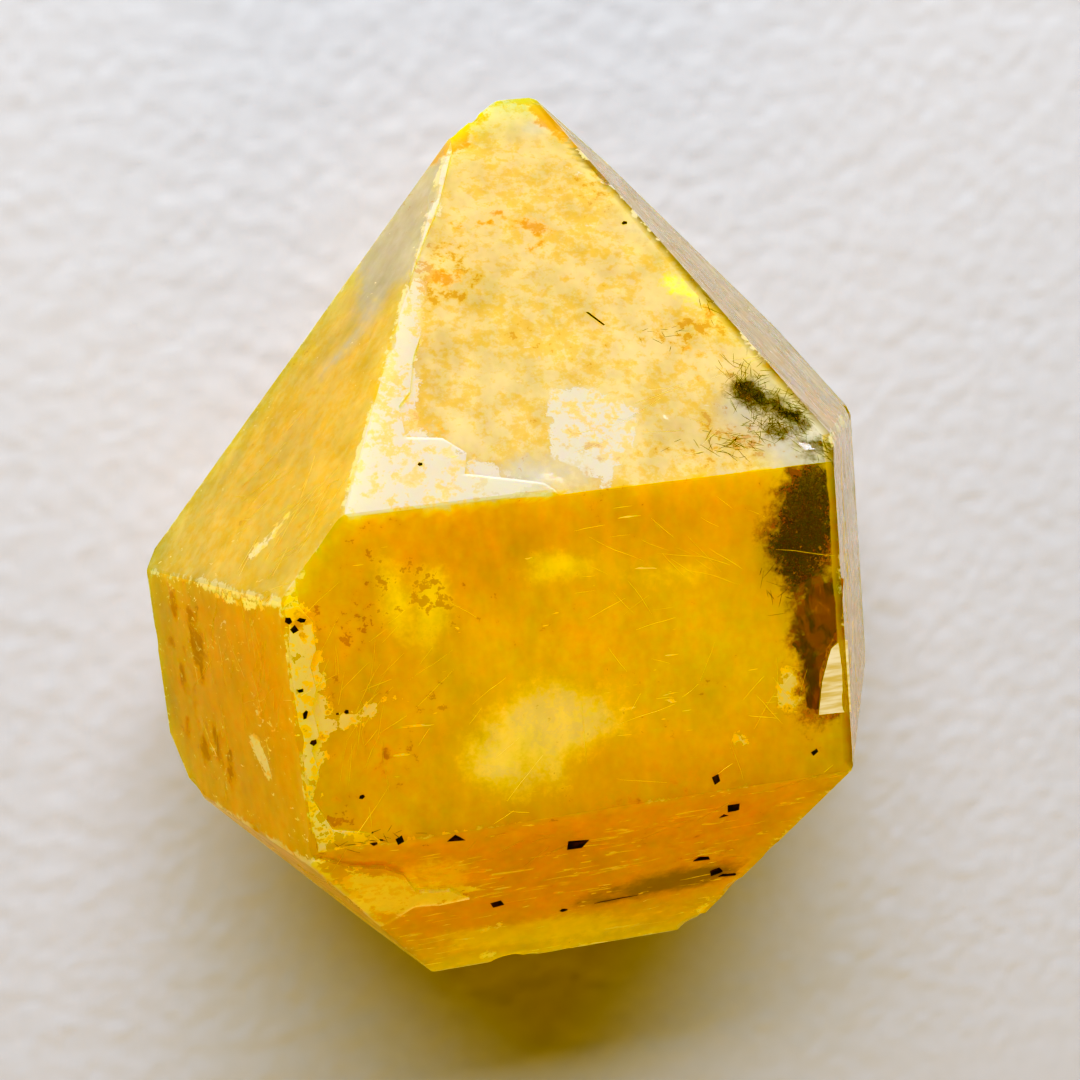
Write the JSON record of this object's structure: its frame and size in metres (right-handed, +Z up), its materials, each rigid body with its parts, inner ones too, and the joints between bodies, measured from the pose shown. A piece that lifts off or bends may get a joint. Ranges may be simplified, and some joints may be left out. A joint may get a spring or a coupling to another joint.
{
  "type": "quartz crystal",
  "caption": "Stubby double-ended yellow quartz crystal with stepped skeletal faces, lying on a prism face, for display or as a set-dressing mineral specimen.",
  "frame": {"origin": "on the ground under the middle of the crystal's box", "axes": "+Y along the crystal's long axis towards its large pointed end, +Z up out of the prism face that lies on top"},
  "size_m": [0.0308, 0.035, 0.0185],
  "materials": {
    "amber_quartz": "cloudy amber quartz, satin faces with iron stain, clear worn edges"
  },
  "bodies": {
    "root": {"quartz_crystal": "amber_quartz"}
  },
  "joints": []
}
